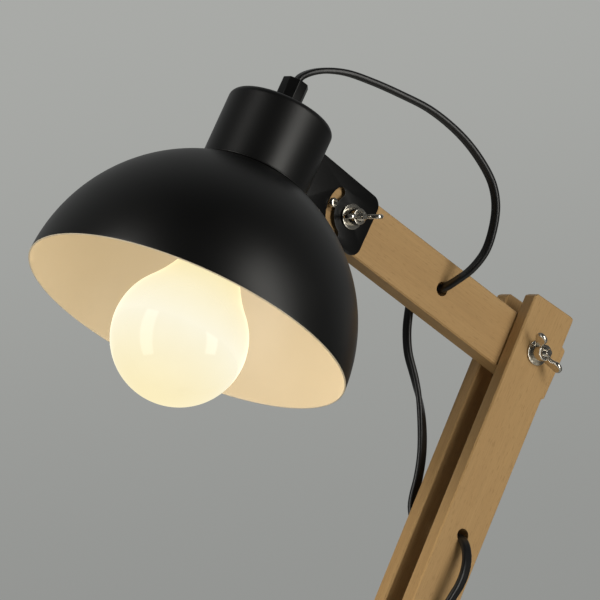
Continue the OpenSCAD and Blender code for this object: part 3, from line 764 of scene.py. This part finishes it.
def head_bracket(coat):
    """Flat plate with rounded corners, a pivot hole and the arc slot that limits the tilt."""
    half = 23.25 * MM
    left = -REACH + NECK_R - 4 * MM
    bow = DOME_R + 0.4 * MM
    cx, cz = DOME_X - REACH, DOME_Z - PIVOT_H
    a0 = math.degrees(math.acos((left - cx) / bow))
    a1 = math.degrees(math.asin((-half - cz) / bow))
    right, corner = 10.5 * MM, 8 * MM
    outline = (arc(right, half - corner, corner, 0, 90, 10) + [(left, half + 2.4 * MM)]
               + arc(cx, cz, bow, a0, a1, 6)
               + arc(right, corner - half, corner, -90, 0, 10))
    tilt_in, tilt_up, play = 36, 72, 4
    lo, hi, wide = 180 - tilt_in + play, 180 + tilt_up - play, 3.6 * MM
    ends = [(SLOT_R * math.cos(math.radians(a)), SLOT_R * math.sin(math.radians(a))) for a in (lo, hi)]
    slot = (arc(0, 0, SLOT_R + wide, lo, hi, 20) + arc(*ends[1], wide, hi, hi + 180, 8)[1:-1]
            + arc(0, 0, SLOT_R - wide, hi, lo, 20) + arc(*ends[0], wide, lo + 180, lo + 360, 8)[1:-1])
    back = PLATE_FRONT - 2.5 * MM
    plate = slab("head_bracket", outline, [slot, circle_outline(3.08 * MM)], 2.5 * MM, 0.45 * MM,
                 AT_HEAD @ FORWARD @ Matrix.Translation((0, 0, back)), coat)
    return place(plate, "head", "black_coat", "bracket_plate")


def grip_nut(plastic_mat):
    """Eight-sided cord grip with softened corners."""
    corners = arc(0, 0, 9.7 * MM, 22.5, 337.5, 7)
    body = slab("grip_nut", rounded_polygon(corners, 1.0 * MM), [circle_outline(3.05 * MM, 24)],
                GRIP_H, 0.7 * MM, AT_SHADE @ Matrix.Translation((0, 0, NECK_TOP)), plastic_mat)
    return place(body, "head", "black_plastic", "cord_grip")


def globe_glass(mat):
    """Globe that tapers into its stem through a long hollow curve."""
    globe, drop, stem, hollow = 47.5 * MM, GLOBE_Z, 14 * MM, 95 * MM
    rise = math.sqrt((globe + hollow) ** 2 - (stem + hollow) ** 2)
    meet = math.degrees(math.atan2(rise, stem + hollow))
    outline = (arc(0, drop, globe, -90, meet, 72)
               + arc(stem + hollow, drop + rise, hollow, 180 + meet, 203, 18)[1:]
               + [(19.4 * MM, 45.6 * MM), (17 * MM, 48 * MM), (14.2 * MM, 50 * MM),
                  (12.6 * MM, 55 * MM), (0, 55 * MM)])
    outline[0] = (0, drop - globe)
    glass = revolve("globe_glass", outline, AT_SHADE, mat, 96, closed=False)
    return place(glass, "head", "opal", "bulb_globe")


# ---------------------------------------------------------------- fasteners
def bolt(name, matrix, tip, back, mat):
    """Coach bolt: chamfered and threaded tip, plain shank, domed head at the back."""
    pitch = 1.0 * MM
    deep = 0.42 * MM
    r = 3 * MM
    outline = [(0, tip), (2.1 * MM, tip), (r - deep, tip - 0.7 * MM)]
    z = tip - 0.9 * MM
    while z > tip - 15 * MM:
        outline += [(r - deep, z), (r - 0.06 * MM, z - 0.4 * pitch), (r - 0.06 * MM, z - 0.5 * pitch),
                    (r - deep, z - 0.9 * pitch)]
        z -= pitch
    outline += [(r, z), (r, back + 0.1 * MM)]
    head_r = 8.2 * MM
    bow = 11.6 * MM
    span = math.degrees(math.asin(head_r / bow))
    outline += [(head_r - 0.3 * MM, back), (head_r, back - 0.3 * MM)]
    low = back - 0.35 * MM
    outline += [(x, low - (y - bow * math.cos(math.radians(span))))
                for x, y in arc(0, 0, bow, 90 - span, 90, 12)]
    outline[-1] = (0, outline[-1][1])
    return revolve(name, outline, matrix, mat, 40, closed=False)


def washer(name, matrix, front, thick, mat):
    """Pressed steel washer with rolled edges."""
    r, hole, soft = 9 * MM, 3.2 * MM, 0.4 * MM
    outline = (arc(r - soft, front - soft, soft, 90, 0, 5)
               + arc(r - soft, front - thick + soft, soft, 0, -90, 5)
               + [(hole, front - thick), (hole, front)])
    return revolve(name, outline, matrix, mat, 56)


def wing_nut(name, matrix, seat, spin, mat):
    """Wing nut: turned boss and two rounded wings."""
    at = matrix @ Matrix.Translation((0, 0, seat)) @ Matrix.Rotation(math.radians(spin), 4, "Z")
    bore, soft = 3.06 * MM, 0.6 * MM
    top = 8 * MM
    boss = ([(bore + 0.4 * MM, 0), (6.5 * MM, 0), (6.6 * MM, 0.5 * MM)]
            + arc(5.7 * MM - soft, top - soft, soft, 0, 90, 5)
            + [(bore + 0.5 * MM, top), (bore, top - 0.6 * MM), (bore, 0.4 * MM)])
    parts = [revolve(name, boss, at, mat, 40)]
    blade = ([(2.9, 1.6), (8.5, 3)] + arc(12, 11.4, 4.6, -60, 150, 16) + [(6.4, 9.9), (2.9, 7.7)])
    blade = [(x * MM, y * MM) for x, y in blade]
    thick = 3.3 * MM
    for side in (0, 180):
        wing_at = (at @ Matrix.Rotation(math.radians(side), 4, "Z")
                   @ Matrix.Rotation(math.radians(90), 4, "X")
                   @ Matrix.Translation((0, 0, -thick / 2)))
        parts.append(slab(name, blade, [], thick, 1.3 * MM, wing_at, mat))
    return joined(name, parts)


def fasteners(zinc):
    """The three clamped pivots: bolt, washer and wing nut, and the tilt limit screw."""
    at_shoulder = AT_PLANKS @ FORWARD
    at_elbow = AT_ELBOW @ FORWARD
    at_head = AT_HEAD @ FORWARD
    steel, gap = 1.6 * MM, 0.1 * MM
    turn = math.degrees(LEAN)
    for label, at, spin in (("shoulder", at_shoulder, 20), ("elbow", at_elbow, -56 + turn)):
        place(bolt(label + "_bolt_steel", at, PLANK_FRONT + 14 * MM, -PLANK_FRONT, zinc),
              "plank_pair", "zinc", label + "_bolt")
        place(washer(label + "_washer_steel", at, PLANK_FRONT + steel, steel, zinc),
              "plank_pair", "zinc", label + "_washer")
        place(wing_nut(label + "_wings", at, PLANK_FRONT + steel + gap, spin, zinc),
              label + "_nut", "zinc", label + "_wing_nut")
    place(bolt("head_bolt_steel", at_head, PLATE_FRONT + 15 * MM, -ARM_HALF, zinc),
          "arm", "zinc", "head_bolt")
    place(washer("head_washer_steel", at_head, PLATE_FRONT + gap + steel, steel, zinc),
          "arm", "zinc", "head_washer")
    place(wing_nut("head_wings", at_head, PLATE_FRONT + steel + 2 * gap, math.degrees(SLOPE), zinc),
          "head_nut", "zinc", "head_wing_nut")
    place(limit_screw(at_head @ Matrix.Translation((-SLOT_R, 0, 0)), zinc),
          "arm", "zinc", "tilt_limit_screw")


def limit_screw(at, zinc):
    """Round-headed screw with a socket, standing in the bracket's slot."""
    seat = PLATE_FRONT + 0.4 * MM
    top = seat + 2.2 * MM
    head_r, socket = 3.5 * MM, 1.55 * MM
    outline = ([(0, top - 1.5 * MM), (socket, top - 1.5 * MM), (socket, top - 0.2 * MM),
                (socket + 0.25 * MM, top)]
               + arc(head_r - 1.5 * MM, top - 1.5 * MM, 1.5 * MM, 75, 0, 6)
               + [(head_r, seat), (2 * MM, seat), (2 * MM, -3.5 * MM), (0, -3.5 * MM)])
    return revolve("limit_screw", outline, at, zinc, 36, closed=False)


# ---------------------------------------------------------------- switch and plug
SWITCH_AT = Vector((118, 218, 0)) * MM
PLUG_AT = Vector((56, 343, 7)) * MM


def block_outline():
    """Plan of the switch housing: long sides, straight ends, cut corners."""
    x, y = 32 * MM, 15 * MM
    cut_x, cut_y = 5 * MM, 7 * MM
    return rounded_polygon([(-x, -y + cut_y), (-x + cut_x, -y), (x - cut_x, -y), (x, -y + cut_y),
                            (x, y - cut_y), (x - cut_x, y), (-x + cut_x, y), (-x, y - cut_y)],
                           3 * MM)


def foot_switch(shell):
    """Two-part housing with a seam, a raised collar and a domed button."""
    at = Matrix.Translation(SWITCH_AT)
    base = slab("switch_lower_shell", block_outline(), [], 10.6 * MM, 1.2 * MM,
                at @ Matrix.Translation((0, 0, 0.2 * MM)), shell)
    place(base, "stand", "black_plastic", "switch_base", "switch_module")
    ring = circle_outline(10.3 * MM)
    cover = joined("switch_upper_shell", [
        slab("switch_upper_shell", block_outline(), [ring], 9 * MM, 1.8 * MM,
             at @ Matrix.Translation((0, 0, 11 * MM)), shell),
        slab("switch_collar", circle_outline(13 * MM, 64), [ring], 2.2 * MM, 0.6 * MM,
             at @ Matrix.Translation((0, 0, 19.3 * MM)), shell)])
    place(cover, "stand", "black_plastic", "switch_cover")
    r, top = 10 * MM, 26.3 * MM
    cap = ([(0, 16.5 * MM), (r, 16.5 * MM)] + arc(r - 1.4 * MM, top - 1.9 * MM, 1.4 * MM, 0, 70, 6)
           + [(5.5 * MM, top - 0.25 * MM), (4.9 * MM, top - 0.7 * MM), (0, top - 0.7 * MM)])
    button = revolve("switch_cap", cap, at, shell, 64, closed=False)
    place(button, "button", "black_plastic", "switch_button")
    return [base, cover, button]


def plug_parts(shell, metal):
    """Two-pin plug with a moulded grip and a ribbed sleeve."""
    at = Matrix.Translation(PLUG_AT)
    plan = [(0, -7), (-13, -17), (-36, -17), (-36, 17), (-13, 17), (0, 7)]
    lower = slab("plug_shell", rounded_polygon([(x * MM, y * MM) for x, y in plan], 2.4 * MM), [],
                 13.6 * MM, 2 * MM, at @ Matrix.Translation((0, 0, -6.8 * MM)), shell)
    ridges = [slab("plug_ridge", rounded_polygon(
        [((x - 0.8) * MM, -11 * MM), ((x + 0.8) * MM, -11 * MM), ((x + 0.8) * MM, 11 * MM),
         ((x - 0.8) * MM, 11 * MM)], 0.7 * MM), [], 1.0 * MM, 0.35 * MM,
        at @ Matrix.Translation((0, 0, 6.3 * MM)), shell) for x in (-26, -22, -18)]
    body = place(joined("plug_shell", [lower, *ridges]), "stand", "black_plastic", "plug_body")
    sleeve = [(5, 0), (5, 2.2)]
    for i in range(5):
        z, r = 3 + i * 5.4, 4.25 - i * 0.15
        sleeve += [(r, z), (r, z + 2.4), (r + 1.1 - i * 0.12, z + 2.9), (r + 1.1 - i * 0.12, z + 4.9)]
    sleeve += [(3.9, 30), (3.4, 30), (3.4, 0)]
    boot = revolve("plug_sleeve", [(r * MM, z * MM) for r, z in sleeve],
                   at @ Matrix.Rotation(math.radians(90), 4, "Y"), shell, 40)
    place(boot, "stand", "black_plastic", "plug_boot")
    pins = []
    for y in (-9.2, 9.2):
        pin = [(0, 0), (1.9, 0), (1.9, 10), (2, 10.1), (2, 17.6), (1.7, 18.6), (1, 19), (0, 19)]
        pins.append(revolve("plug_prongs", [(r * MM, z * MM) for r, z in pin],
                            at @ Matrix.Translation((-36 * MM, y * MM, 0))
                            @ Matrix.Rotation(math.radians(-90), 4, "Y"), metal, 28, closed=False))
    prongs = place(joined("plug_prongs", pins), "stand", "zinc", "plug_pins")
    return [body, boot, prongs]


# ---------------------------------------------------------------- the lamp
def make_lamp():
    zinc = plated("zinc_plate")
    brass = plated("brass", (0.62, 0.43, 0.16), 0.28)
    black = powder_coat("black_powder", rough=0.28, level=0.3)
    shade = powder_coat("shade_powder")
    moulded = plastic("black_moulding")
    pad = felt("felt")
    washers = fibre("fibre")
    dome_shell(shade, cream_lining("cream_lining"))
    neck_shell(shade)
    head_bracket(black)
    grip_nut(moulded)
    globe_glass(lit_opal("lit_opal"))
    fasteners(zinc)
    beech_pieces()
    finish_nodes(black, "base_disc", "post_socket", "bracket_rivets")
    finish_nodes(zinc, "base_screws", "socket_screws", "spacer_screws", "tube_nuts", "grip_screw",
                 "bulb_cap")
    finish_nodes(brass, "threaded_tube", "lampholder_shell", "lampholder_contact", "bulb_contact")
    finish_nodes(moulded, "post_cord_clips", "plank_cord_clip", "lampholder_cap",
                 "lampholder_skirt")
    finish_nodes(pad, "base_pad")
    finish_nodes(washers, "shoulder_friction_washers", "elbow_friction_washers",
                 "head_friction_washer")
    make_cords(sheath("flex_sheath"), foot_switch(moulded), plug_parts(moulded, zinc), pad, moulded)


# ---------------------------------------------------------------- light and ground
def soft_box(name, turn, rise, size, power, color):
    """Tall light aimed at the shade, turned from the viewing side and raised by degrees."""
    distance = 1.9
    target = AT_SHADE.to_translation()
    a, b = math.radians(turn), math.radians(rise)
    way = (-AHEAD * math.cos(a) + RIGHT * math.sin(a)) * math.cos(b) + UP * math.sin(b)
    data = bpy.data.lights.new(name, "AREA")
    data.shape = "RECTANGLE"
    data.size, data.size_y = size
    data.energy = power
    data.color = color
    made = bpy.data.objects.new(name, data)
    made.location = target + way * distance
    made.rotation_euler = (-way).to_track_quat("-Z", "Y").to_euler()
    bpy.context.scene.collection.objects.link(made)


def bulb_light():
    """The lit globe's own light on the lining."""
    data = bpy.data.lights.new("bulb_light", "POINT")
    data.energy = 0.37
    data.color = (1.0, 0.90, 0.76)
    data.shadow_soft_size = 0.04
    made = bpy.data.objects.new("bulb_light", data)
    made.location = AT_SHADE @ Vector((0, 0, GLOBE_Z))
    bpy.context.scene.collection.objects.link(made)
    bpy.data.objects["globe_glass"].visible_shadow = False


def make_lights():
    soft_box("right_box", turn=56, rise=6, size=(0.7, 2.2), power=28, color=(1.0, 0.985, 0.93))
    soft_box("left_box", turn=-56, rise=13, size=(0.8, 2.9), power=36, color=(1.0, 0.985, 0.94))
    bulb_light()


def make_world():
    """Grey studio: a pale wall all round in view, and mostly dark where it lights the lamp."""
    world = bpy.data.worlds.new("studio")
    world.use_nodes = True
    nodes, links = world.node_tree.nodes, world.node_tree.links
    ray = nodes.new("ShaderNodeTexCoord").outputs["Generated"]

    def spread(direction, low, high, dark, light):
        """Colour that goes from dark to light along a direction."""
        dot = nodes.new("ShaderNodeVectorMath")
        dot.operation = "DOT_PRODUCT"
        dot.inputs[1].default_value = direction
        links.new(ray, dot.inputs[0])
        span = nodes.new("ShaderNodeMapRange")
        span.interpolation_type = "SMOOTHSTEP"
        span.inputs["From Min"].default_value = low
        span.inputs["From Max"].default_value = high
        links.new(dot.outputs["Value"], span.inputs["Value"])
        return blended(span.outputs["Result"], dark, light)

    def blended(factor, a, b):
        tint = nodes.new("ShaderNodeMix")
        tint.data_type = "RGBA"
        for value, socket in ((factor, tint.inputs[0]), (a, tint.inputs[6]), (b, tint.inputs[7])):
            if isinstance(value, bpy.types.NodeSocket):
                links.new(value, socket)
            else:
                socket.default_value = (*value, 1)
        return tint.outputs[2]

    wall = spread(UP - 0.12 * RIGHT, -0.026, 0.026, (0.292, 0.298, 0.287), (0.398, 0.405, 0.388))
    room = spread(AHEAD + 0.25 * UP, 0.1, 1.0, (0.055, 0.056, 0.055), (0.30, 0.305, 0.30))
    seen = nodes.new("ShaderNodeLightPath").outputs["Is Camera Ray"]
    links.new(blended(seen, room, wall), nodes["Background"].inputs["Color"])
    bpy.context.scene.world = world
    bpy.context.scene.view_settings.view_transform = "Standard"


def make_floor():
    """Pale matt floor."""
    bm = bmesh.new()
    bmesh.ops.create_grid(bm, x_segments=1, y_segments=1, size=12)
    s = Shader("floor_paint", (0.62, 0.62, 0.60), 0.8)
    s.bump(s.noise(s.coords((1, 1, 1)), 300, 3, 0.6), 0.1, 0.0005)
    finish_mesh("floor", bm, Matrix.Identity(4), s.mat)


make_camera()
make_lamp()
make_lights()
make_world()
make_floor()
